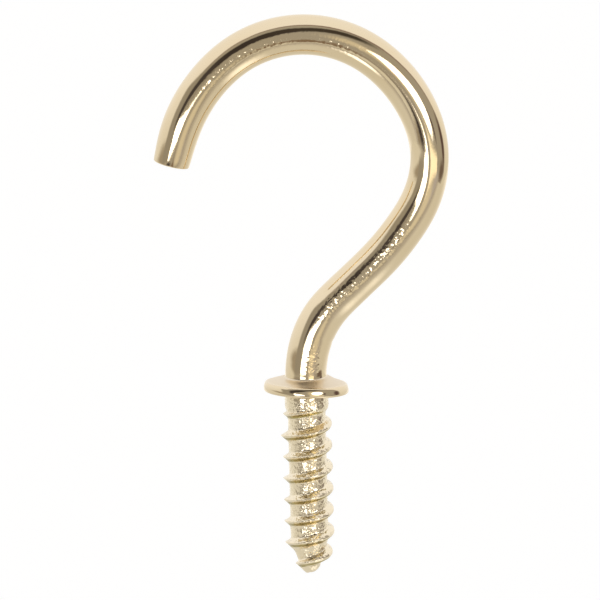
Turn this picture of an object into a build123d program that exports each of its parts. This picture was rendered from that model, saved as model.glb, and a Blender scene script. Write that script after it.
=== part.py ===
from build123d import *
import math
import os

# Shelf hook: one length of round mild-steel wire, bent to an open bow at one end, upset to a round
# collar, and rolled to a wood-screw thread with a gimlet point at the other.
# Millimetres. The origin is the centre of the collar's underside, which seats on the wood.
# The screw points down -Z, the bow lies in the XZ plane, and its mouth opens towards -X.

# Wire
wire_dia = 4.0
stem_dia = 4.14           # left a little thicker where the wire was gripped for upsetting
tip_dia = 3.66            # the sheared end is drawn in a little
tip_edge = 0.18           # broken edge round the sheared face

# Route of the bow, bend by bend from the stem to the open tip
stem_straight = 0.12      # straight above the collar's crown, before the first bend
lean_radius = 10.72
lean_angle = 48.3         # first bend, leaning the stem out to the right
shank_run = 3.54          # straight along the slanted shank, tapering from the stem to the wire
swing_radius = 25.7
swing_angle = 16.5        # gentle bend back towards upright
shoulder_radius = 11.1
shoulder_angle = 51.6     # right-hand side of the bow
crown_radius = 13.82
crown_angle = 32.5        # flatter stretch up to the top
arch_radius = 11.7
arch_angle = 78.8         # over the top and down the left
mouth_radius = 16.24
mouth_angle = 33.0        # opened end at the mouth
tip_run = 2.1             # straight, tapering tip

# Collar
collar_dia = 8.5
rim_edge = 0.14           # broken lower edge of the rim
rim_band = 0.4            # upright band round the rim
rim_bevel = 0.28          # rolled-over upper edge of the rim
dome_slope = 24.0         # slope of the domed top where it leaves the rim
collar_height = 1.5       # height of the dome where it meets the stem
seat_flare = 0.4          # cone that strengthens the neck where it meets the seat

# Screw
screw_length = 18.68
neck_dia = 4.3
neck_length = 1.7         # plain neck under the collar
neck_taper = 0.45         # fall from the neck to the core
thread_dia = 4.96
thread_depth = 0.6
pitch = 2.2
crest_width = 0.26
upper_flank = 28.0        # steeper flank, facing the collar
lower_flank = 41.0        # longer flank, facing the point
point_angle = 17.7        # half angle of the gimlet point
nose_radius = 0.95
right_crest_z = -3.4      # where the crest passes +X, which sets how far the thread has turned
thread_start = 0.8        # below the seat, where the ridge begins to rise from the neck
thread_run_in = 2.0
thread_end_gap = 0.45     # above the tip, where the ridge has sunk into the point
root_bury = 0.25          # how deep the ridge is rooted in the core
sections_per_turn = 8
SPANS_PER_TURN = 2        # each half turn of the ridge is lofted by itself

wire_r = wire_dia / 2
stem_r = stem_dia / 2
collar_r = collar_dia / 2
neck_r = neck_dia / 2
thread_r = thread_dia / 2
core_r = thread_r - thread_depth

# Gimlet point: a cone that runs out tangent to the round nose
half_angle = math.radians(point_angle)
nose_r = nose_radius * math.cos(half_angle)
nose_z = -screw_length + nose_radius * (1 - math.sin(half_angle))
cone_top_z = nose_z + (core_r - nose_r) / math.tan(half_angle)

# Thread extent along the screw
thread_top_z = -thread_start
thread_end_z = -screw_length + thread_end_gap
stem_top_z = collar_height + stem_straight

# Where the domed top of the collar leaves the rim, and which way
rim_top = (collar_r - rim_bevel, rim_edge + rim_band + rim_bevel)
dome_rise = (-math.cos(math.radians(dome_slope)), math.sin(math.radians(dome_slope)))

# Run of each flank for a unit of depth
lower_run = math.tan(math.radians(lower_flank))
upper_run = math.tan(math.radians(upper_flank))

# Spans of the ridge
span_count = math.ceil(SPANS_PER_TURN * (thread_top_z - thread_end_z) / pitch)
span_drop = (thread_top_z - thread_end_z) / span_count
sections_per_span = sections_per_turn // SPANS_PER_TURN


def core_radius(z):
    """Radius of the core at height z, along the straight and down the cone."""
    return core_r - max(0.0, cone_top_z - z) * math.tan(half_angle)


def crest_radius(z):
    """Radius of the ridge's crest: it rises out of the neck and falls as a parabola to the point."""
    if z > thread_top_z - thread_run_in:
        start_r = neck_r - root_bury / 2
        return start_r + (thread_r - start_r) * (thread_top_z - z) / thread_run_in
    end_r = core_radius(thread_end_z) - root_bury / 2
    fall = max(0.0, cone_top_z - z) / (cone_top_z - thread_end_z)
    return thread_r - (thread_r - end_r) * fall**2.5


def axial_plane(z):
    """Plane through the screw's axis that cuts the ridge square, local X outward and local Y up."""
    turn = math.radians(360 * (z - right_crest_z) / pitch)
    outward = Vector(math.cos(turn), math.sin(turn), 0)
    return Plane(origin=(0, 0, z), x_dir=outward, z_dir=outward.cross(Vector(0, 0, 1)))


with BuildLine(Plane.XZ) as lean_path:
    lean = JernArc((0, stem_top_z), (0, 1), lean_radius, -lean_angle)

shank_foot = Plane(origin=lean @ 1, z_dir=lean % 1)
shank_head = shank_foot.offset(shank_run)

with BuildLine(Plane.XZ) as bow_path:
    swing = JernArc(shank_head.origin, shank_head.z_dir, swing_radius, swing_angle)
    shoulder = JernArc(swing @ 1, swing % 1, shoulder_radius, shoulder_angle)
    crown = JernArc(shoulder @ 1, shoulder % 1, crown_radius, crown_angle)
    arch = JernArc(crown @ 1, crown % 1, arch_radius, arch_angle)
    mouth = JernArc(arch @ 1, arch % 1, mouth_radius, mouth_angle)

bow_end = Plane(origin=mouth @ 1, z_dir=mouth % 1)
tip_end = bow_end.offset(tip_run)

with BuildPart() as shelf_hook:
    # Screw core, neck, collar and foot of the stem, turned about the screw's axis
    with BuildSketch(Plane.XZ):
        with BuildLine():
            nose = TangentArc((0, -screw_length), (nose_r, nose_z), tangent=(1, 0))
            Polyline(
                nose @ 1,
                (core_r, cone_top_z),
                (core_r, -neck_length - neck_taper),
                (neck_r, -neck_length),
                (neck_r, -seat_flare),
                (neck_r + seat_flare, 0),
                (collar_r - rim_edge, 0),
                (collar_r, rim_edge),
                (collar_r, rim_edge + rim_band),
                rim_top,
            )
            dome = TangentArc(rim_top, (stem_r, collar_height), tangent=dome_rise)
            Polyline(dome @ 1, (stem_r, stem_top_z), (0, stem_top_z), (0, -screw_length))
        make_face()
    revolve(axis=Axis.Z)

    # First bend of the stem
    with BuildSketch(Plane(origin=lean @ 0, z_dir=lean % 0)):
        Circle(stem_r)
    sweep(path=lean_path.line)

    # Shank, drawn down from the stem to the wire
    with BuildSketch(shank_foot):
        Circle(stem_r)
    with BuildSketch(shank_head):
        Circle(wire_r)
    loft()

    # Bow
    with BuildSketch(shank_head):
        Circle(wire_r)
    sweep(path=bow_path.line)

    # Tip, with its sheared end
    with BuildSketch(bow_end):
        Circle(wire_r)
    with BuildSketch(tip_end):
        Circle(tip_dia / 2)
    loft()
    sheared_face = shelf_hook.faces().sort_by_distance(tip_end.origin)[0]
    chamfer(sheared_face.edges(), length=tip_edge)

    # Thread ridge, lofted through sections square to its run, one span at a time
    for span in range(span_count):
        for step in range(sections_per_span + 1):
            z = thread_top_z - span_drop * (span + step / sections_per_span)
            root_r = core_radius(z) - root_bury
            crest_r = crest_radius(z)
            flank_depth = min(crest_r - root_r, thread_depth + root_bury)
            with BuildSketch(axial_plane(z)):
                with BuildLine():
                    Polyline(
                        (root_r, -crest_width / 2 - flank_depth * lower_run),
                        (crest_r, -crest_width / 2),
                        (crest_r, crest_width / 2),
                        (root_r, crest_width / 2 + flank_depth * upper_run),
                        close=True,
                    )
                make_face()
        loft()

shelf_hook.part.label = "shelf_hook"

os.makedirs("parts", exist_ok=True)
export_step(shelf_hook.part, "parts/shelf_hook.step")
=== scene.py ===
"""Shelf hook in bright brass plate, set in a white studio tent.

The hook's sizes are in millimetres, as on its drawing, and become metres where the mesh is made. The frame is
the CAD model's: the origin is the centre of the collar's underside, the screw points down -Z, and the bow lies
in the XZ plane with its mouth towards -X.
"""

import logging
import math
from dataclasses import dataclass, field
from enum import Enum
from typing import Any, Iterator

import bpy
from mathutils import Matrix, Vector, noise


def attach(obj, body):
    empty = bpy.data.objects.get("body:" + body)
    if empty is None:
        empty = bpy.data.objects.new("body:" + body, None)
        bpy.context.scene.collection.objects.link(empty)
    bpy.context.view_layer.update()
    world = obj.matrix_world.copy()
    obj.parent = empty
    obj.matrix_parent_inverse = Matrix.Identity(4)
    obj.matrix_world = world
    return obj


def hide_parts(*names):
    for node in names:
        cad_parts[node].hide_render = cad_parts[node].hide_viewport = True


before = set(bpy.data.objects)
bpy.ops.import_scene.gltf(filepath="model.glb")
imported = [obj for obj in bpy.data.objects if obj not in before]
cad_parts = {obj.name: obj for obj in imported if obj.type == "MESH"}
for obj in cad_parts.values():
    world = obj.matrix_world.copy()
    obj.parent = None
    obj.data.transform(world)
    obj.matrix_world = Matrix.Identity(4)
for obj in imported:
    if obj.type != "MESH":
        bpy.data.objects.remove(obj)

LOG = logging.getLogger("shelf_hook")
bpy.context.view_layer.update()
MM = 0.001  # metres in a millimetre
COLUMNS = 96  # points in each ring of the mesh

Colour = tuple[float, float, float, float]


class Way(Enum):
    """Which way the wire bends as it is followed up from the collar, seen from the front."""

    LEFT = 1
    RIGHT = -1


class Patch(Enum):
    """Outline of a patch of light or dark in the studio."""

    OVAL = "oval"
    PANEL = "panel"


def grey(level: float) -> Colour:
    """A neutral colour of the given level."""
    return (level, level, level, 1.0)


def blend(low: float, high: float, value: float) -> float:
    """How far value has gone from low to high, from 0 to 1, easing at both ends."""
    share = min(max((value - low) / (high - low), 0.0), 1.0)
    return share * share * (3.0 - 2.0 * share)


def rounded_max(first: float, second: float, width: float) -> float:
    """The larger of two numbers, with a fillet of about the given width where they cross."""
    return 0.5 * (first + second + math.hypot(first - second, width))


class Signal:
    """The output of a shader node, with arithmetic that adds Math nodes."""

    def __init__(self, graph: "ShaderGraph", socket: bpy.types.NodeSocket) -> None:
        """Holds the socket and the graph that it belongs to."""
        self.graph = graph
        self.socket = socket

    def __add__(self, other: "Signal | float") -> "Signal":
        """The sum."""
        return self.graph.math("ADD", self, other)

    def __radd__(self, other: float) -> "Signal":
        """The sum, with the number first."""
        return self.graph.math("ADD", other, self)

    def __sub__(self, other: "Signal | float") -> "Signal":
        """The difference."""
        return self.graph.math("SUBTRACT", self, other)

    def __rsub__(self, other: float) -> "Signal":
        """The difference from a number."""
        return self.graph.math("SUBTRACT", other, self)

    def __mul__(self, other: "Signal | float") -> "Signal":
        """The product."""
        return self.graph.math("MULTIPLY", self, other)

    def __rmul__(self, other: float) -> "Signal":
        """The product, with the number first."""
        return self.graph.math("MULTIPLY", other, self)

    def __truediv__(self, other: "Signal | float") -> "Signal":
        """The quotient."""
        return self.graph.math("DIVIDE", self, other)

    def __pow__(self, power: float) -> "Signal":
        """The power."""
        return self.graph.math("POWER", self, power)

    def __abs__(self) -> "Signal":
        """The size without the sign."""
        return self.graph.math("ABSOLUTE", self)

    def rise(self, low: float, high: float) -> "Signal":
        """A mask that eases from 0 at low to 1 at high, or falls where high is the smaller.

        Args:
            low: Value at which the mask is 0.
            high: Value at which the mask is 1.

        Returns:
            The mask.
        """
        settings = {"interpolation_type": "SMOOTHSTEP", "clamp": True}
        if low < high:
            return self.graph.take("ShaderNodeMapRange", settings, {"Value": self, 1: low, 2: high})
        return 1.0 - self.graph.take("ShaderNodeMapRange", settings, {"Value": self, 1: high, 2: low})


class ShaderGraph:
    """A node tree that is written as expressions."""

    def __init__(self, tree: bpy.types.NodeTree) -> None:
        """Empties the tree and holds it."""
        self.tree = tree
        tree.nodes.clear()

    def node(self, kind: str, settings: dict[str, Any], sockets: dict[str | int, Any]) -> bpy.types.Node:
        """Adds a node.

        Args:
            kind: Blender's name for the node's type.
            settings: The node's own options, set before its sockets.
            sockets: For each input, by name or number, a Signal to link or a value to set.

        Returns:
            The node.
        """
        made = self.tree.nodes.new(kind)
        for name, value in settings.items():
            setattr(made, name, value)
        for name, value in sockets.items():
            if isinstance(value, Signal):
                self.tree.links.new(value.socket, made.inputs[name])
            else:
                made.inputs[name].default_value = value
        return made

    def take(
        self, kind: str, settings: dict[str, Any], sockets: dict[str | int, Any], output: str | int = 0
    ) -> Signal:
        """Adds a node and gives one of its outputs.

        Args:
            kind: Blender's name for the node's type.
            settings: The node's own options.
            sockets: Values or links of its inputs.
            output: The output wanted, by name or number.

        Returns:
            That output.
        """
        return Signal(self, self.node(kind, settings, sockets).outputs[output])

    def math(self, operation: str, *values: "Signal | float") -> Signal:
        """One Math node."""
        return self.take("ShaderNodeMath", {"operation": operation}, dict(enumerate(values)))

    def vector(self, operation: str, *values: Any) -> Signal:
        """One Vector Math node that gives a vector."""
        return self.take("ShaderNodeVectorMath", {"operation": operation}, dict(enumerate(values)))

    def dot(self, first: Signal, second: Any) -> Signal:
        """The dot product of two vectors, a number."""
        return self.take("ShaderNodeVectorMath", {"operation": "DOT_PRODUCT"}, {0: first, 1: second}, "Value")

    def mix(self, share: "Signal | float", first: "Signal | Colour", second: "Signal | Colour") -> Signal:
        """A colour that goes from first to second as share goes from 0 to 1."""
        return self.take("ShaderNodeMix", {"data_type": "RGBA"}, {0: share, 6: first, 7: second}, 2)

    def grain(self, place: Signal, stretch: tuple[float, float, float], detail: float = 2.0) -> Signal:
        """Noise from 0 to 1.

        Args:
            place: Where it is read, in metres.
            stretch: Grains in a metre along each axis.
            detail: Finer octaves that are added.

        Returns:
            The noise.
        """
        scaled = self.vector("MULTIPLY", place, stretch)
        return self.take("ShaderNodeTexNoise", {}, {"Vector": scaled, "Scale": 1.0, "Detail": detail})

    def patch(self, across: Signal, upward: Signal, patch: "LightPatch") -> Signal:
        """The mask of one patch of the studio.

        Args:
            across: Place from left to right.
            upward: Place from low to high.
            patch: Where the patch lies, and its shape.

        Returns:
            1 inside it and 0 outside.
        """
        x = across - patch.centre[0]
        y = upward - patch.centre[1] - x * patch.slope
        if patch.outline is Patch.PANEL:
            inside_x = abs(x).rise(patch.half[0] + patch.soft, patch.half[0] - patch.soft)
            inside_y = abs(y).rise(patch.half[1] + patch.soft, patch.half[1] - patch.soft)
            return inside_x * inside_y
        from_centre = ((x / patch.half[0]) ** 2.0 + (y / patch.half[1]) ** 2.0) ** 0.5
        edge = patch.soft / min(patch.half)
        return from_centre.rise(1.0 + edge, 1.0 - edge)


@dataclass(frozen=True)
class PhotoCamera:
    """The camera, at the photograph's viewing angle.

    Its axes are those of a level camera that looks down by tilt, turned by roll. Sizes are in millimetres.
    """

    distance: float = 600.0
    tilt: float = 12.3
    roll: float = 1.35
    picture_width: float = 59.52
    sensor_width: float = 36.0
    target: tuple[float, float, float] = (-0.41, 0.0, 9.22)

    def axes(self) -> tuple[Vector, Vector, Vector]:
        """The camera's own directions.

        Returns:
            Right, up and backward, each of length 1.
        """
        tilt = math.radians(self.tilt)
        roll = math.radians(self.roll)
        level_up = Vector((0.0, math.sin(tilt), math.cos(tilt)))
        backward = Vector((0.0, -math.cos(tilt), math.sin(tilt)))
        right = Vector((1.0, 0.0, 0.0)) * math.cos(roll) - level_up * math.sin(roll)
        up = level_up * math.cos(roll) + Vector((1.0, 0.0, 0.0)) * math.sin(roll)
        return right, up, backward

    def build(self) -> bpy.types.Object:
        """Adds the camera and makes it the scene's own.

        Returns:
            The camera.
        """
        right, up, backward = self.axes()
        lens = bpy.data.cameras.new("photo_camera")
        lens.sensor_width = self.sensor_width
        lens.lens = self.sensor_width * self.distance / self.picture_width
        camera = bpy.data.objects.new("photo_camera", lens)
        turned = Matrix((right, up, backward)).transposed().to_4x4()
        turned.translation = (Vector(self.target) + backward * self.distance) * MM
        camera.matrix_world = turned
        bpy.context.scene.collection.objects.link(camera)
        bpy.context.scene.camera = camera
        return camera


@dataclass(frozen=True)
class LightPatch:
    """A patch of light or dark in the studio.

    In the tent its place is the facing direction, across and up from the camera's line, that mirrors it into the
    camera: 0 faces the camera, and 1 faces square to its line. On the floor its place is in millimetres.
    """

    centre: tuple[float, float]
    half: tuple[float, float]
    colour: Colour
    outline: Patch = Patch.OVAL
    slope: float = 0.0
    soft: float = 0.03


DAYLIGHT = grey(3.6)


@dataclass(frozen=True)
class Studio:
    """A white tent round the hook, open at the front onto a darker room with two windows.

    The floor sheet lies well below the hook, ends in front of it, and glows for the metal with painted shading and
    two painted pools of lamplight. The sheet's sizes are in millimetres. A pair for a fade says where it starts and
    where it ends.
    """

    # The tent, from its lower to its upper cloth
    tent_high: Colour = grey(1.0)
    tent_low: Colour = (0.78, 0.77, 0.70, 1.0)
    tent_fade: tuple[float, float] = (-0.35, 0.45)

    # The tent's opening and the room's ground
    valance: LightPatch = LightPatch((0.14, 0.05), (0.60, 0.41), (0.24, 0.17, 0.15, 1.0), slope=-0.06, soft=0.025)
    opening: LightPatch = LightPatch((0.17, 0.02), (0.61, 0.39), (0.42, 0.40, 0.36, 1.0), slope=-0.12, soft=0.025)
    opening_side: LightPatch = LightPatch(
        (-0.36, 0.0), (0.195, 0.21), (0.36, 0.34, 0.30, 1.0), Patch.PANEL, slope=-0.15, soft=0.035
    )
    opening_spur: LightPatch = LightPatch((-0.56, -0.11), (0.21, 0.055), (0.40, 0.36, 0.30, 1.0), slope=-0.4)
    carpet: LightPatch = LightPatch((0.40, -0.27), (0.15, 0.05), (0.52, 0.50, 0.52, 1.0), slope=0.1)

    # What stands near the opening, and the lit wall
    table: LightPatch = LightPatch((0.19, -0.28), (0.13, 0.05), (0.78, 0.73, 0.60, 1.0))
    tripod: LightPatch = LightPatch((0.0, -0.33), (0.055, 0.06), (0.24, 0.18, 0.13, 1.0))
    wall: LightPatch = LightPatch((0.13, -0.03), (0.08, 0.12), (0.74, 0.68, 0.54, 1.0), soft=0.04)

    # The darkest parts of the room, and the curtain at its right
    dark_left: LightPatch = LightPatch((-0.15, 0.16), (0.21, 0.12), (0.05, 0.042, 0.04, 1.0), slope=0.35, soft=0.035)
    dark_low: LightPatch = LightPatch((-0.31, 0.03), (0.07, 0.11), (0.07, 0.06, 0.06, 1.0), slope=0.5, soft=0.025)
    dark_right: LightPatch = LightPatch((0.10, 0.26), (0.21, 0.08), (0.06, 0.05, 0.04, 1.0), slope=0.3, soft=0.035)
    curtain: LightPatch = LightPatch((0.71, -0.02), (0.055, 0.15), (0.12, 0.08, 0.08, 1.0), slope=-0.6, soft=0.03)
    curtain_foot: LightPatch = LightPatch((0.64, -0.20), (0.10, 0.05), (0.18, 0.14, 0.12, 1.0), slope=0.2)
    lamp_foot: LightPatch = LightPatch((0.43, -0.05), (0.03, 0.06), (0.12, 0.09, 0.09, 1.0), soft=0.02)
    stool: LightPatch = LightPatch((-0.22, -0.265), (0.11, 0.035), (0.06, 0.05, 0.05, 1.0), slope=-0.12, soft=0.02)
    stool_shade: LightPatch = LightPatch((-0.37, -0.28), (0.13, 0.045), (0.34, 0.30, 0.24, 1.0))

    # The windows, and the sunlit sill of the right one
    sill: LightPatch = LightPatch(
        (0.25, -0.198), (0.16, 0.03), (1.45, 1.33, 1.04, 1.0), Patch.PANEL, slope=0.03, soft=0.02
    )
    left_window: LightPatch = LightPatch(
        (-0.165, -0.154), (0.115, 0.032), DAYLIGHT, Patch.PANEL, slope=-0.34, soft=0.008
    )
    left_window_foot: LightPatch = LightPatch(
        (-0.15, -0.19), (0.12, 0.022), DAYLIGHT, Patch.PANEL, slope=-0.08, soft=0.008
    )
    right_window: LightPatch = LightPatch((0.26, -0.02), (0.13, 0.115), DAYLIGHT, slope=0.15, soft=0.018)

    # The floor sheet, its painted shading from back to front, and its painted pools of lamplight
    paper_painted_glow: Colour = (0.40, 0.39, 0.33, 1.0)
    paper_painted_back: Colour = (0.74, 0.74, 0.72, 1.0)
    paper_painted_front_shade: Colour = (0.16, 0.14, 0.11, 1.0)
    paper_shown: Colour = grey(0.66)
    paper_tone: Colour = grey(0.42)
    paper_roughness: float = 0.9
    # Painted pools of lamplight in the sheet's glow, which the metal mirrors
    painted_left_pool: LightPatch = LightPatch((-80.0, -158.0), (30.0, 40.0), (1.70, 1.75, 1.85, 1.0), soft=20.0)
    painted_right_pool: LightPatch = LightPatch((90.0, -50.0), (30.0, 72.0), (1.06, 1.06, 1.03, 1.0), soft=24.0)
    sheet_drop: float = 150.0
    sheet_front: float = 250.0
    sheet_depth: float = 3000.0
    sheet_width: float = 860.0
    back_fade: tuple[float, float] = (20.0, 560.0)
    front_fade: tuple[float, float] = (-100.0, -240.0)

    def patches(self) -> tuple[LightPatch, ...]:
        """The tent's patches.

        Returns:
            All of them, the nearer ones last.
        """
        openings = (self.opening_spur, self.valance, self.opening, self.opening_side, self.carpet)
        front = (self.table, self.tripod, self.stool_shade, self.wall)
        darks = (self.dark_left, self.dark_low, self.dark_right, self.curtain, self.curtain_foot)
        things = (self.lamp_foot, self.stool, self.sill)
        return openings + front + darks + things + (self.left_window, self.left_window_foot, self.right_window)

    def build(self, camera: PhotoCamera) -> bpy.types.Object:
        """Lights the world and lays the floor sheet.

        Args:
            camera: The camera whose line the tent's patches are placed about.

        Returns:
            The floor sheet.
        """
        world = bpy.data.worlds.new("studio_tent")
        world.use_nodes = True
        self.light(ShaderGraph(world.node_tree), camera)
        bpy.context.scene.world = world
        return self.floor()

    def light(self, graph: ShaderGraph, camera: PhotoCamera) -> None:
        """Writes the tent, its opening and its windows into the world.

        Args:
            graph: The world's node tree.
            camera: The camera whose line the patches are placed about.
        """
        right, up, backward = camera.axes()
        direction = graph.take("ShaderNodeTexCoord", {}, {}, "Generated")
        facing = graph.vector("NORMALIZE", graph.vector("ADD", direction, backward))
        across = graph.dot(facing, right)
        upward = graph.dot(facing, up)
        studio = graph.mix(upward.rise(*self.tent_fade), self.tent_low, self.tent_high)
        for patch in self.patches():
            studio = graph.mix(graph.patch(across, upward, patch), studio, patch.colour)
        seen = graph.take("ShaderNodeLightPath", {}, {}, "Is Camera Ray")
        shown = graph.mix(seen, studio, grey(1.0))
        background = graph.take("ShaderNodeBackground", {}, {"Color": shown, "Strength": 1.0})
        graph.node("ShaderNodeOutputWorld", {}, {"Surface": background})

    def floor(self) -> bpy.types.Object:
        """Lays the pale floor sheet, which takes the hook's shadow.

        Returns:
            The sheet.
        """
        half = self.sheet_width / 2
        back = self.sheet_depth - self.sheet_front
        corners = ((-half, -self.sheet_front), (half, -self.sheet_front), (half, back), (-half, back))
        mesh = bpy.data.meshes.new("floor_sheet")
        mesh.from_pydata([Vector((x, y, -self.sheet_drop)) * MM for x, y in corners], [], [(0, 1, 2, 3)])
        mesh.materials.append(self.floor_finish())
        sheet = bpy.data.objects.new("floor_sheet", mesh)
        bpy.context.scene.collection.objects.link(sheet)
        return sheet

    def floor_finish(self) -> bpy.types.Material:
        """Makes the paper, which is plain to the camera, and to the metal glows with painted shading from back to
        front and painted pools of lamplight.

        Returns:
            The material.
        """
        material = bpy.data.materials.new("white_paper")
        material.use_nodes = True
        graph = ShaderGraph(material.node_tree)
        place = graph.take("ShaderNodeTexCoord", {}, {}, "Object")
        split = graph.node("ShaderNodeSeparateXYZ", {}, {"Vector": place})
        across = Signal(graph, split.outputs["X"]) * (1.0 / MM)
        inward = Signal(graph, split.outputs["Y"]) * (1.0 / MM)
        # Painted light and shade in the glow that the metal mirrors: paler at the back, darker at the front, then
        # the painted pools of lamplight
        painted_light = graph.mix(inward.rise(*self.back_fade), self.paper_painted_glow, self.paper_painted_back)
        painted_light = graph.mix(inward.rise(*self.front_fade), painted_light, self.paper_painted_front_shade)
        for painted_pool in (self.painted_left_pool, self.painted_right_pool):
            painted_light = graph.mix(graph.patch(across, inward, painted_pool), painted_light, painted_pool.colour)
        seen = graph.take("ShaderNodeLightPath", {}, {}, "Is Camera Ray")
        glow = graph.mix(seen, painted_light, self.paper_shown)
        paper = graph.take(
            "ShaderNodeBsdfPrincipled",
            {},
            {
                "Base Color": self.paper_tone,
                "Roughness": self.paper_roughness,
                "Specular IOR Level": 0.0,
                "Emission Color": glow,
                "Emission Strength": 1.0,
            },
        )
        graph.node("ShaderNodeOutputMaterial", {}, {"Surface": paper})
        return material


@dataclass(frozen=True)
class PitPatch:
    """A pitted stretch of the unbent wire: its ends, how far right it lies, and its strength from 0 to 1."""

    low: float
    high: float
    across: float
    strength: float


@dataclass(frozen=True)
class Marks:
    """Fine marks in the plate: their spacing across the wire and their depth, in millimetres.

    Along says how many marks there are along the wire for each one across it, and detail is the noise's own.
    """

    spacing: float
    depth: float
    along: float = 1.0
    detail: float = 2.0

    def height(self, graph: ShaderGraph, place: Signal) -> Signal:
        """The height of the surface with these marks, in metres."""
        across = 1.0 / (self.spacing * MM)
        return graph.grain(place, (across, across, across * self.along), self.detail) * (self.depth * MM)


@dataclass(frozen=True)
class BrassPlate:
    """Bright brass plate over drawn steel wire, pitted in places, and coarser over the rolled thread.

    Lengths and heights are in millimetres, on the hook with its wire unbent. A grain says how many marks there
    are in a metre along each axis. A band holds the noise levels between which a mask goes from 0 to 1.
    """

    pale: Colour = (0.84, 0.705, 0.50, 1.0)
    warm: Colour = (0.82, 0.675, 0.455, 1.0)
    thread_gold: Colour = (0.915, 0.80, 0.60, 1.0)
    # Painted sheen: a paler colour over the collar's dome
    dome_painted_sheen: Colour = (0.85, 0.745, 0.60, 1.0)
    # Painted shade under the thread's ridge, a dark olive brown
    ridge_shade: Colour = (0.40, 0.32, 0.10, 1.0)
    tone_grain: tuple[float, float, float] = (260.0, 260.0, 90.0)
    tone_detail: float = 3.0
    tone_band: tuple[float, float] = (0.35, 0.65)

    # Painted shade under the thread's ridge, in speckles
    shade_grain: tuple[float, float, float] = (1700.0, 1700.0, 1700.0)
    shade_even: float = 0.4
    shade_uneven: float = 1.1
    shade_band: tuple[float, float] = (0.28, 0.85)
    shade_share: float = 0.9

    # Roughness, and where it changes
    polish: float = 0.07
    worn_polish: float = 0.08
    thread_polish: float = 0.19
    dome_polish: float = 0.42
    thread_top: float = -0.5
    thread_fade: float = 0.4
    dome_foot: float = 1.0
    dome_top: float = 1.55
    dome_fade: float = 0.1
    dome_sheen_share: float = 0.7

    # Pitted stretches
    grip_pits: PitPatch = PitPatch(1.9, 4.9, 0.5, 0.75)
    shank_pits: PitPatch = PitPatch(8.0, 20.2, -0.25, 0.8)
    arch_pits: PitPatch = PitPatch(41.0, 58.0, -0.1, 0.3)
    pit_half: float = 0.6
    pit_half_fade: float = 0.3
    stretch_fade: float = 1.2
    patchy_grain: tuple[float, float, float] = (500.0, 500.0, 180.0)
    patchy_band: tuple[float, float] = (0.42, 0.58)
    patchy_share: float = 0.45
    clean_share: float = 0.03

    # Relief
    draw_lines: Marks = Marks(0.16, 0.0009, along=0.03)
    pits: Marks = Marks(0.27, 0.06, along=0.8, detail=0.6)
    orange_peel: Marks = Marks(0.9, 0.006, along=0.5, detail=1.0)
    rolled: Marks = Marks(0.36, 0.11, detail=1.2)

    def build(self) -> bpy.types.Material:
        """Makes the material. It reads the hook's unbent places and the painted shade under the thread's ridge,
        which the mesh carries.

        Returns:
            The material.
        """
        material = bpy.data.materials.new("bright_brass_plate")
        material.use_nodes = True
        graph = ShaderGraph(material.node_tree)
        place = graph.take("ShaderNodeAttribute", {"attribute_name": "unbent"}, {}, "Vector")
        ridge_shading = graph.take("ShaderNodeAttribute", {"attribute_name": "ridge_shade"}, {}, "Fac")
        parts = graph.node("ShaderNodeSeparateXYZ", {}, {"Vector": place})
        across = Signal(graph, parts.outputs["X"]) * (1.0 / MM)
        height = Signal(graph, parts.outputs["Z"]) * (1.0 / MM)
        thread = height.rise(self.thread_top + self.thread_fade, self.thread_top - self.thread_fade)
        domed = height.rise(self.dome_foot - self.dome_fade, self.dome_foot + self.dome_fade)
        domed = domed * height.rise(self.dome_top + self.dome_fade, self.dome_top - self.dome_fade)
        pitted = self.pitted(graph, place, across, height)
        relief = self.relief(graph, place, thread, pitted)
        normal = graph.take("ShaderNodeBump", {}, {"Strength": 1.0, "Distance": 1.0, "Height": relief}, "Normal")
        tone = graph.grain(place, self.tone_grain, self.tone_detail).rise(*self.tone_band)
        plate = graph.mix(tone, self.pale, self.warm)
        plate = graph.mix(thread, plate, self.thread_gold)
        # Painted sheen: the collar's dome is made paler
        plate = graph.mix(domed * self.dome_sheen_share, plate, self.dome_painted_sheen)
        # Painted shade: a speckled dark olive under the thread's ridge
        shade_speckle = self.shade_even + graph.grain(place, self.shade_grain) * self.shade_uneven
        painted_ridge_shade = (ridge_shading * shade_speckle).rise(*self.shade_band)
        plate = graph.mix(painted_ridge_shade * self.shade_share, plate, self.ridge_shade)
        rough = self.polish + pitted * (self.worn_polish - self.polish)
        rough = rough + thread * (self.thread_polish - self.polish)
        rough = rough + domed * (self.dome_polish - self.polish)
        shader = graph.take(
            "ShaderNodeBsdfPrincipled",
            {},
            {"Base Color": plate, "Metallic": 1.0, "Roughness": rough, "Normal": normal},
        )
        graph.node("ShaderNodeOutputMaterial", {}, {"Surface": shader})
        return material

    def pitted(self, graph: ShaderGraph, place: Signal, across: Signal, height: Signal) -> Signal:
        """Where the plate is pitted.

        Args:
            graph: The material's node tree.
            place: The unbent place on the hook.
            across: How far to the right it lies, in millimetres.
            height: Its height, in millimetres.

        Returns:
            1 where the plate is pitted and 0 where it is clean.
        """
        spots = graph.grain(place, self.patchy_grain, 1.0).rise(*self.patchy_band)
        patchy = (1.0 - self.patchy_share) + self.patchy_share * spots
        pitted: Signal | float = 0.0
        for patch in (self.grip_pits, self.shank_pits, self.arch_pits):
            begun = height.rise(patch.low - self.stretch_fade, patch.low + self.stretch_fade)
            going = height.rise(patch.high + self.stretch_fade, patch.high - self.stretch_fade)
            beside = abs(across - patch.across)
            band = beside.rise(self.pit_half + self.pit_half_fade, self.pit_half - self.pit_half_fade)
            pitted = pitted + begun * going * band * patch.strength
        return pitted * patchy

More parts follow.
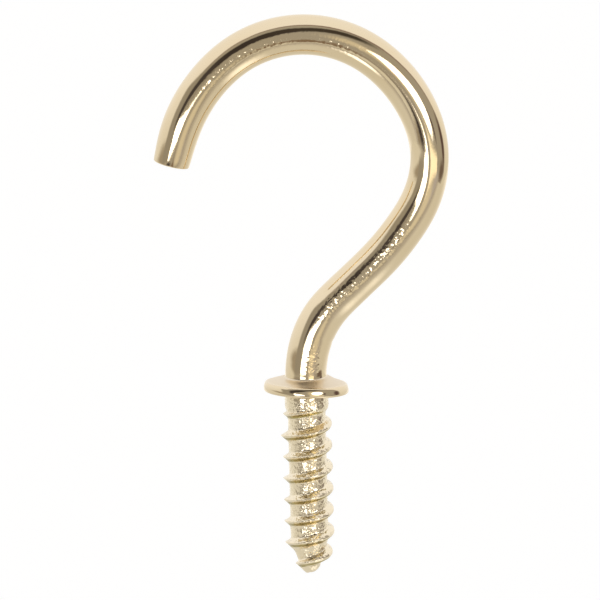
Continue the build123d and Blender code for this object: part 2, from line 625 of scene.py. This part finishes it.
    def relief(self, graph: ShaderGraph, place: Signal, thread: Signal, pitted: Signal) -> Signal:
        """The height of the surface's fine marks, in metres.

        Args:
            graph: The material's node tree.
            place: The unbent place on the hook.
            thread: 1 over the thread and 0 over the wire.
            pitted: 1 where the plate is pitted.

        Returns:
            The height.
        """
        draw_lines = self.draw_lines.height(graph, place)
        pits = self.pits.height(graph, place) * (self.clean_share + (1.0 - self.clean_share) * pitted)
        orange_peel = self.orange_peel.height(graph, place)
        return draw_lines + pits + orange_peel + self.rolled.height(graph, place) * thread


@dataclass
class Skin:
    """The hook's surface as it is made: points with their unbent places and the painted shade under the thread's
    ridge, and the faces between.
    """

    points: list[Vector] = field(default_factory=list)
    unbent: list[Vector] = field(default_factory=list)
    ridge_shade: list[float] = field(default_factory=list)
    faces: list[tuple[int, ...]] = field(default_factory=list)

    def point(self, place: Vector, unbent: Vector, ridge_shade: float = 0.0) -> int:
        """Adds a point.

        Args:
            place: Where it is, in millimetres.
            unbent: Where it would be if the wire were straight.
            ridge_shade: How much painted shade lies there, under the thread's ridge, from 0 to 1.

        Returns:
            Its number.
        """
        self.points.append(place)
        self.unbent.append(unbent)
        self.ridge_shade.append(ridge_shade)
        return len(self.points) - 1

    def face(self, *corners: int) -> None:
        """Adds a face, unless its corners have run together into a line.

        Args:
            corners: The numbers of its points, in order round it.
        """
        kept = tuple(dict.fromkeys(corners))
        if len(kept) > 2:
            self.faces.append(kept)

    def bridge(self, upper: list[int], lower: list[int]) -> None:
        """Joins two rings with faces.

        Args:
            upper: The ring that comes first as the hook is followed from its tip.
            lower: The ring that comes after it.
        """
        for here in range(COLUMNS):
            after = (here + 1) % COLUMNS
            self.face(upper[here], lower[here], lower[after], upper[after])

    def close(self, ring: list[int], pole: int, first: bool) -> None:
        """Closes the surface with a fan.

        Args:
            ring: The last ring before the pole.
            pole: The point at the middle.
            first: Whether the pole comes before the ring.
        """
        for here in range(COLUMNS):
            after = (here + 1) % COLUMNS
            if first:
                self.face(pole, ring[here], ring[after])
            else:
                self.face(ring[here], pole, ring[after])

    def mesh(self, name: str) -> bpy.types.Mesh:
        """Makes the mesh, in metres.

        Args:
            name: The mesh's name.

        Returns:
            The mesh, smooth, with its unbent places and its painted shade under the ridge as attributes.
        """
        mesh = bpy.data.meshes.new(name)
        mesh.from_pydata([place * MM for place in self.points], [], self.faces)
        mesh.shade_smooth()
        unbent = mesh.attributes.new("unbent", "FLOAT_VECTOR", "POINT")
        unbent.data.foreach_set("vector", [value * MM for place in self.unbent for value in place])
        ridge_shade = mesh.attributes.new("ridge_shade", "FLOAT", "POINT")
        ridge_shade.data.foreach_set("value", self.ridge_shade)
        mesh.validate()
        return mesh


@dataclass(frozen=True)
class Stretch:
    """One stretch of the wire's route: its length, and how far it turns to the left in a millimetre."""

    length: float
    turn: float = 0.0

    @classmethod
    def arc(cls, radius: float, angle: float, way: Way) -> "Stretch":
        """A round stretch of the given radius, through an angle in degrees."""
        return cls(radius * math.radians(angle), way.value / radius)


@dataclass(frozen=True)
class Dent:
    """A flat that the bending tools left on one side of the wire. Lengths in millimetres."""

    at: float
    half: float
    depth: float
    side: Way

    def bite(self, along: float, turn: float) -> float:
        """How far the surface is pressed in, at an angle round the wire from its right-hand side."""
        facing = max(0.0, -self.side.value * math.cos(turn))
        return self.depth * facing**2 * math.exp(-(((along - self.at) / self.half) ** 2))


@dataclass(frozen=True)
class Station:
    """A place on the wire's centre line."""

    centre: Vector
    heading: float
    along: float


@dataclass(frozen=True)
class Bow:
    """The bent wire, from the collar to the sheared tip. Lengths in millimetres, angles in degrees."""

    wire_dia: float = 4.0
    stem_dia: float = 4.14
    tip_dia: float = 3.6
    tip_round: float = 0.11
    tip_crown: float = 0.06
    tip_draw: float = 6.0
    foot_height: float = 1.62
    lean: Stretch = Stretch.arc(10.72, 48.3, Way.RIGHT)
    shank: Stretch = Stretch(3.54)
    swing: Stretch = Stretch.arc(25.7, 16.5, Way.LEFT)
    shoulder: Stretch = Stretch.arc(11.1, 51.6, Way.LEFT)
    crown: Stretch = Stretch.arc(13.82, 32.5, Way.LEFT)
    arch: Stretch = Stretch.arc(11.7, 78.8, Way.LEFT)
    mouth: Stretch = Stretch.arc(15.76, 34.0, Way.LEFT)
    tip: Stretch = Stretch(2.1)
    ease: float = 1.2
    ease_samples: int = 4
    crease: Dent = Dent(4.3, 0.22, 0.05, Way.RIGHT)
    shank_flat: Dent = Dent(9.2, 2.4, 0.13, Way.LEFT)
    shoulder_flat: Dent = Dent(26.0, 4.8, 0.17, Way.LEFT)
    step: float = 0.25
    face_rings: tuple[float, ...] = (0.2, 0.4, 0.6, 0.8, 0.95)
    edge_steps: int = 6

    def stretches(self) -> tuple[Stretch, ...]:
        """The stretches of the route, from the collar to the tip."""
        return self.lean, self.shank, self.swing, self.shoulder, self.crown, self.arch, self.mouth, self.tip

    def length(self) -> float:
        """The length of the route."""
        return sum(stretch.length for stretch in self.stretches())

    def sharp_place(self, along: float) -> tuple[Vector, float]:
        """A place on the route where each stretch starts at once.

        Args:
            along: Length of wire from the foot.

        Returns:
            The place, and the heading there in radians from +X towards +Z.
        """
        centre = Vector((0.0, 0.0, self.foot_height))
        heading = math.pi / 2
        for stretch in self.stretches():
            run = min(max(along, 0.0), stretch.length)
            half_turn = stretch.turn * run / 2
            chord = run * math.sin(half_turn) / half_turn if half_turn else run
            centre += Vector((math.cos(heading + half_turn), 0.0, math.sin(heading + half_turn))) * chord
            heading += 2 * half_turn
            along -= stretch.length
        return centre, heading

    def station(self, along: float) -> Station:
        """A place on the real wire, in which one bend eases into the next.

        Args:
            along: Length of wire from the foot.

        Returns:
            The mean of the sharp route over a window.
        """
        window = min(self.ease, along, self.length() - along)
        samples = range(-self.ease_samples, self.ease_samples + 1)
        places = [self.sharp_place(along + window * sample / self.ease_samples) for sample in samples]
        centre = sum((place for place, _ in places), Vector()) / len(places)
        return Station(centre, sum(heading for _, heading in places) / len(places), along)

    def stations(self) -> list[Station]:
        """The centre line, from the foot to the tip."""
        count = math.ceil(self.length() / self.step)
        return [self.station(self.length() * number / count) for number in range(count + 1)]

    def radius(self, along: float) -> float:
        """The wire's radius, which falls along the shank and again towards the tip.

        Args:
            along: Length of wire from the foot.

        Returns:
            The radius.
        """
        drawn = blend(self.lean.length, self.lean.length + self.shank.length, along)
        sheared = max(0.0, along - self.length() + self.tip_draw) / self.tip_draw
        stem = self.stem_dia + (self.wire_dia - self.stem_dia) * drawn
        return (stem + (self.tip_dia - self.wire_dia) * sheared**2) / 2

    def ring(self, skin: Skin, station: Station, radius: float) -> list[int]:
        """Adds a ring of points square to the wire.

        Args:
            skin: The surface that it is added to.
            station: Where on the wire it is.
            radius: Its radius.

        Returns:
            The numbers of its points.
        """
        outward = Vector((math.sin(station.heading), 0.0, -math.cos(station.heading)))
        dents = (self.crease, self.shank_flat, self.shoulder_flat)
        made = []
        for column in range(COLUMNS):
            turn = 2 * math.pi * column / COLUMNS
            reach = radius - sum(dent.bite(station.along, turn) for dent in dents)
            x, y = reach * math.cos(turn), reach * math.sin(turn)
            place = station.centre + outward * x + Vector((0.0, y, 0.0))
            made.append(skin.point(place, Vector((x, y, self.foot_height + station.along))))
        return made

    def build(self, skin: Skin) -> list[int]:
        """Adds the wire to the surface, from its sheared tip down to the foot.

        Args:
            skin: The surface.

        Returns:
            The ring at the foot.
        """
        line = self.stations()
        end = line[-1]
        ahead = Vector((math.cos(end.heading), 0.0, math.sin(end.heading)))
        pole = skin.point(end.centre.copy(), Vector((0.0, 0.0, self.foot_height + end.along)))
        rings = []
        face_radius = self.tip_dia / 2 - self.tip_round
        for share in self.face_rings:
            sunk = self.tip_crown * share**2
            back = Station(end.centre - ahead * sunk, end.heading, end.along - sunk)
            rings.append(self.ring(skin, back, face_radius * share))
        for step in range(self.edge_steps + 1):
            bend = math.pi / 2 * step / self.edge_steps
            sunk = self.tip_crown + self.tip_round * (1 - math.cos(bend))
            back = Station(end.centre - ahead * sunk, end.heading, end.along - sunk)
            rings.append(self.ring(skin, back, face_radius + self.tip_round * math.sin(bend)))
        skin.close(rings[0], pole, first=True)
        clear = self.length() - self.tip_crown - self.tip_round - self.step / 2
        for station in reversed([station for station in line if station.along < clear]):
            rings.append(self.ring(skin, station, self.radius(station.along)))
        for upper, lower in zip(rings, rings[1:]):
            skin.bridge(upper, lower)
        return rings[-1]


@dataclass(frozen=True)
class Collar:
    """The upset collar: a domed top, a rounded rim and a seat. Lengths in millimetres, angles in degrees.

    The collar is upset a little out of square, lower on the right and higher in front.
    """

    collar_dia: float = 8.485
    rim_height: float = 1.0
    rim_depth: float = 0.33
    rim_corner: float = 0.26
    rim_drop: float = 0.14
    dome_slope: float = 26.0
    dome_bulge: float = 0.06
    crown_height: float = 1.45
    foot_round: float = 0.2
    foot_drop: float = 0.04
    seat_flare: float = 0.4
    tilt_right: float = 3.0
    tilt_front: float = 3.6
    lean_reach: float = 0.99
    fillet_steps: int = 8
    dome_steps: int = 14
    rim_steps: int = 16
    seat_steps: int = 4
    flare_steps: int = 6

    def profile(self, stem_radius: float, neck_radius: float) -> Iterator[tuple[float, float]]:
        """The outline, from below the stem's foot to the top of the neck.

        Args:
            stem_radius: Radius of the stem.
            neck_radius: Radius of the neck.

        Yields:
            Radius and height.
        """
        slope = math.radians(self.dome_slope)
        rise = self.rim_height - self.rim_corner
        centre = self.collar_dia / 2 - self.rim_depth
        start = math.atan2(rise * math.cos(slope), self.rim_depth * math.sin(slope))
        top = (centre + self.rim_depth * math.cos(start), self.rim_corner + rise * math.sin(start))
        foot_low = self.crown_height - self.foot_drop
        chord = (stem_radius + self.foot_round - top[0], foot_low - top[1])
        for step in range(1, self.fillet_steps):
            turn = math.pi / 2 * step / self.fillet_steps
            radius = stem_radius + self.foot_round * (1 - math.cos(turn))
            yield radius, foot_low + self.foot_round * (1 - math.sin(turn))
        for step in range(self.dome_steps):
            share = 1 - step / self.dome_steps
            bulge = self.dome_bulge * math.sin(math.pi * share)
            yield top[0] + chord[0] * share, top[1] + chord[1] * share + bulge
        for step in range(self.rim_steps + 1):
            turn = start * (1 - step / self.rim_steps)
            yield centre + self.rim_depth * math.cos(turn), self.rim_corner + rise * math.sin(turn)
        corner = self.collar_dia / 2 - self.rim_corner
        for step in range(1, self.fillet_steps + 1):
            turn = math.pi / 2 * step / self.fillet_steps
            yield corner + self.rim_corner * math.cos(turn), self.rim_corner * (1 - math.sin(turn))
        seat_edge = neck_radius + self.seat_flare
        for step in range(1, self.seat_steps):
            yield corner + (seat_edge - corner) * step / self.seat_steps, 0.0
        for step in range(self.flare_steps + 1):
            turn = math.pi / 2 * step / self.flare_steps
            yield seat_edge - self.seat_flare * math.sin(turn), -self.seat_flare * (1 - math.cos(turn))

    def build(self, skin: Skin, foot: list[int], stem_radius: float, neck_radius: float) -> list[int]:
        """Adds the collar to the surface, below the foot of the stem.

        Args:
            skin: The surface.
            foot: The ring at the foot of the stem.
            stem_radius: Radius of the stem.
            neck_radius: Radius of the neck.

        Returns:
            The ring at the top of the neck.
        """
        above = foot
        drop = Vector((math.tan(math.radians(self.tilt_right)), math.tan(math.radians(self.tilt_front)), 0.0))
        for radius, height in self.profile(stem_radius, neck_radius):
            share = blend(stem_radius, self.collar_dia / 2 - self.lean_reach, radius)
            ring = []
            for column in range(COLUMNS):
                turn = 2 * math.pi * column / COLUMNS
                place = Vector((radius * math.cos(turn), radius * math.sin(turn), height))
                leaning = place - Vector((0.0, 0.0, (drop.dot(place) + self.rim_drop) * share))
                ring.append(skin.point(leaning, place))
            skin.bridge(above, ring)
            above = ring
        return above


@dataclass(frozen=True)
class Screw:
    """The rolled wood-screw thread and its gimlet point. Lengths in millimetres, angles in degrees.

    The burr's length is in turns, the rows' clearance is a share of their spacing, and a wear, wave or ripple
    grain is how fast the noise changes along the surface.
    """

    length: float = 18.68
    neck_dia: float = 4.3
    neck_length: float = 1.7
    neck_taper: float = 0.45
    neck_ease: float = 0.1
    thread_dia: float = 4.96
    thread_depth: float = 0.6
    pitch: float = 2.2
    crest_round: float = 0.07
    root_round: float = 0.10
    lobe_half: float = 0.56
    lobe_power: float = 2.6
    flank_hollow: float = 0.85
    upper_flank: float = 28.0
    lower_flank: float = 41.0
    point_angle: float = 17.7
    nose_radius: float = 1.05
    nose_rings: tuple[float, ...] = (0.25, 0.5, 0.7, 0.85, 0.94, 0.985, 0.998)
    right_crest: float = -3.4
    thread_start: float = 0.8
    run_in: float = 2.0
    run_out_power: float = 2.5
    end_gap: float = 0.45
    root_bury: float = 0.25
    wear_place: tuple[float, float] = (3.1, 0.7)
    wear_grain: float = 1.9
    wear_depth: float = 0.05
    burr_height: float = -4.41
    burr_length: float = 0.07
    burr_reach: float = 0.2
    # Where the painted shade lies below each crest, and how far the ridge must stand out before it is painted
    shade_low: tuple[float, float] = (-0.62, -0.42)
    shade_high: tuple[float, float] = (-0.10, -0.26)
    shade_rise: float = 0.2
    wave_radius: float = 2.0
    wave_grain: float = 1.3
    wave_depth: float = 0.03
    ripple_grain: float = 4.0
    ripple_depth: float = 0.012
    even_band: float = 0.3
    rows_per_turn: int = 28
    row_clearance: float = 0.35
    top: float = -0.55
    bottom_gap: float = 0.36

    @property
    def neck_radius(self) -> float:
        """Radius of the plain neck."""
        return self.neck_dia / 2

    @property
    def bottom(self) -> float:
        """Height at which the turned rows give way to the nose's rings."""
        return self.bottom_gap - self.length

    @property
    def straight_core(self) -> float:
        """Radius of the core above the point."""
        return self.thread_dia / 2 - self.thread_depth

    @property
    def cone_foot(self) -> float:
        """Height at which the point's cone runs into the round nose."""
        return self.nose_radius * (1 - math.sin(math.radians(self.point_angle))) - self.length

    @property
    def cone_top(self) -> float:
        """Height at which the core begins to narrow to the point."""
        angle = math.radians(self.point_angle)
        return self.cone_foot + (self.straight_core - self.nose_radius * math.cos(angle)) / math.tan(angle)

    def core_radius(self, height: float) -> float:
        """Radius of the core at a height, from the neck down to the tip.

        Args:
            height: Height in the hook's frame, below 0.

        Returns:
            The radius.
        """
        if height < self.cone_foot:
            above_end = height + self.length
            return math.sqrt(max(0.0, (2 * self.nose_radius - above_end) * above_end))
        if height < self.cone_top:
            return self.cone_radius(height)
        taper_top = -self.neck_length + self.neck_ease
        taper_end = -self.neck_length - self.neck_taper - self.neck_ease
        return self.neck_radius + (self.straight_core - self.neck_radius) * blend(taper_top, taper_end, height)

    def cone_radius(self, height: float) -> float:
        """Radius of the point's cone, carried on to any height."""
        return self.straight_core - (self.cone_top - height) * math.tan(math.radians(self.point_angle))

    def crest_radius(self, height: float) -> float:
        """Radius of the ridge's crest, which rises out of the neck and falls as a parabola to the point.

        Args:
            height: Height of the crest in the hook's frame.

        Returns:
            The radius.
        """
        full = self.thread_dia / 2
        if height > -self.thread_start - self.run_in:
            start = self.neck_radius - self.root_bury / 2
            return start + (full - start) * (-self.thread_start - height) / self.run_in
        last = self.end_gap - self.length
        end = self.cone_radius(last) - self.root_bury / 2
        fallen = max(0.0, self.cone_top - height) / (self.cone_top - last)
        return full - (full - end) * fallen**self.run_out_power

    def surface(self, turn: float, height: float) -> tuple[float, float]:
        """The screw's surface at one place.

        Args:
            turn: Turns from +X, from 0 to 1.
            height: Height in the hook's frame.

        Returns:
            The radius, and the painted shade under the ridge.
        """
        core = self.core_radius(height)
        rightward = ((1 + math.cos(2 * math.pi * turn)) / 2) ** 2
        turns_up = (height - self.right_crest) / self.pitch - turn
        radius = core
        ridge_shade = 0.0
        for crest in (math.floor(turns_up), math.floor(turns_up) + 1):
            crest_height = self.right_crest + (crest + turn) * self.pitch
            away = height - crest_height
            flank = self.upper_flank if away > 0 else self.lower_flank
            wear = noise.noise(Vector((crest + turn, *self.wear_place)) * self.wear_grain) * self.wear_depth
            from_burr = (crest_height - self.burr_height) / self.pitch / self.burr_length
            wear += self.burr_reach * math.exp(-(from_burr**2))
            flank_half = self.thread_depth * math.tan(math.radians(flank))
            down = (math.hypot(away, self.crest_round) - self.crest_round) / flank_half
            sharp = self.thread_depth * down**self.flank_hollow
            lobe = self.thread_depth * (abs(away) / self.lobe_half) ** self.lobe_power
            drop = sharp + (lobe - sharp) * rightward
            ridge = self.crest_radius(crest_height) + wear - drop
            radius = rounded_max(radius, ridge, self.root_round)
            # Painted shade under the ridge, where the ridge stands out from the core
            risen = blend(core, core + self.shade_rise, self.crest_radius(crest_height))
            ridge_shade = max(ridge_shade, risen * blend(*self.shade_low, away) * blend(*self.shade_high, away))
        return radius, ridge_shade

    def place(self, turn: float, height: float) -> tuple[Vector, float]:
        """A point of the screw's surface, with the unevenness of rolling.

        Args:
            turn: Turns from +X, from 0 to 1.
            height: Height in the hook's frame.

        Returns:
            The point, and its painted shade under the ridge.
        """
        radius, ridge_shade = self.surface(turn, height)
        angle = 2 * math.pi * turn
        if height < self.top - self.even_band:
            at = Vector((math.cos(angle) * self.wave_radius, math.sin(angle) * self.wave_radius, height))
            radius += noise.noise(at * self.wave_grain) * self.wave_depth
            radius += noise.noise(at * self.ripple_grain) * self.ripple_depth
        return Vector((radius * math.cos(angle), radius * math.sin(angle), height)), ridge_shade

    def build(self, skin: Skin, neck: list[int]) -> None:
        """Adds the screw to the surface, below the top of the neck.

        The rows run along the ridge, one turn's last row being the next turn's first.

        Args:
            skin: The surface.
            neck: The ring at the top of the neck.
        """
        upper = self.ring(skin, self.top)
        skin.bridge(neck, upper)
        lower = self.ring(skin, self.bottom)
        run = self.pitch / self.rows_per_turn
        clear = run * self.row_clearance
        first = math.ceil((self.top - self.right_crest) / run)
        count = math.ceil((first * run + self.right_crest + self.pitch - self.bottom) / run) + 1
        columns = []
        for column in range(COLUMNS):
            turn = column / COLUMNS
            made = []
            for row in range(count):
                height = self.right_crest + self.pitch * turn + (first - row) * run
                if height > self.top - clear:
                    made.append(upper[column])
                elif height < self.bottom + clear:
                    made.append(lower[column])
                else:
                    place, ridge_shade = self.place(turn, height)
                    made.append(skin.point(place, place.copy(), ridge_shade))
            columns.append(made)
        turned_on = [upper[0]] * self.rows_per_turn + columns[0]
        for column in range(COLUMNS):
            after = columns[column + 1] if column + 1 < COLUMNS else turned_on
            here = columns[column]
            for row in range(count - 1):
                skin.face(here[row], here[row + 1], after[row + 1], after[row])
        self.nose(skin, lower)

    def ring(self, skin: Skin, height: float) -> list[int]:
        """Adds a level ring.

        Args:
            skin: The surface that it is added to.
            height: The height that it lies at.

        Returns:
            The numbers of its points.
        """
        made = []
        for column in range(COLUMNS):
            place, ridge_shade = self.place(column / COLUMNS, height)
            made.append(skin.point(place, place.copy(), ridge_shade))
        return made

    def nose(self, skin: Skin, above: list[int]) -> None:
        """Closes the surface over the round nose.

        Args:
            skin: The surface.
            above: The last ring of the ridge.
        """
        for share in self.nose_rings:
            below = self.ring(skin, self.bottom + (-self.length - self.bottom) * share)
            skin.bridge(above, below)
            above = below
        end = Vector((0.0, 0.0, -self.length))
        skin.close(above, skin.point(end, end.copy()), first=False)


@dataclass(frozen=True)
class Hook:
    """The whole hook: one piece of wire, bent, upset and rolled."""

    bow: Bow = Bow()
    collar: Collar = Collar()
    screw: Screw = Screw()
    finish: BrassPlate = BrassPlate()

    def build(self) -> bpy.types.Object:
        """Makes the hook and puts it in the place of the CAD node.

        Returns:
            The hook.
        """
        skin = Skin()
        foot = self.bow.build(skin)
        neck = self.collar.build(skin, foot, self.bow.stem_dia / 2, self.screw.neck_radius)
        self.screw.build(skin, neck)
        mesh = skin.mesh("plated_hook")
        mesh.materials.append(self.finish.build())
        hook = bpy.data.objects.new("plated_hook", mesh)
        bpy.context.scene.collection.objects.link(hook)
        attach(hook, "root")
        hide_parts("shelf_hook")
        return hook


def main() -> None:
    """Builds the camera, the studio and the hook, and reports each."""
    logging.basicConfig(level=logging.INFO, format="%(name)s: %(message)s")
    bpy.context.scene.view_settings.view_transform = "Standard"
    camera = PhotoCamera()
    LOG.info("camera %s", camera.build().name)
    LOG.info("floor %s", Studio().build(camera).name)
    hook = Hook().build()
    LOG.info("piece %s, %d faces", hook.name, len(hook.data.polygons))


if __name__ == "__main__":
    main()
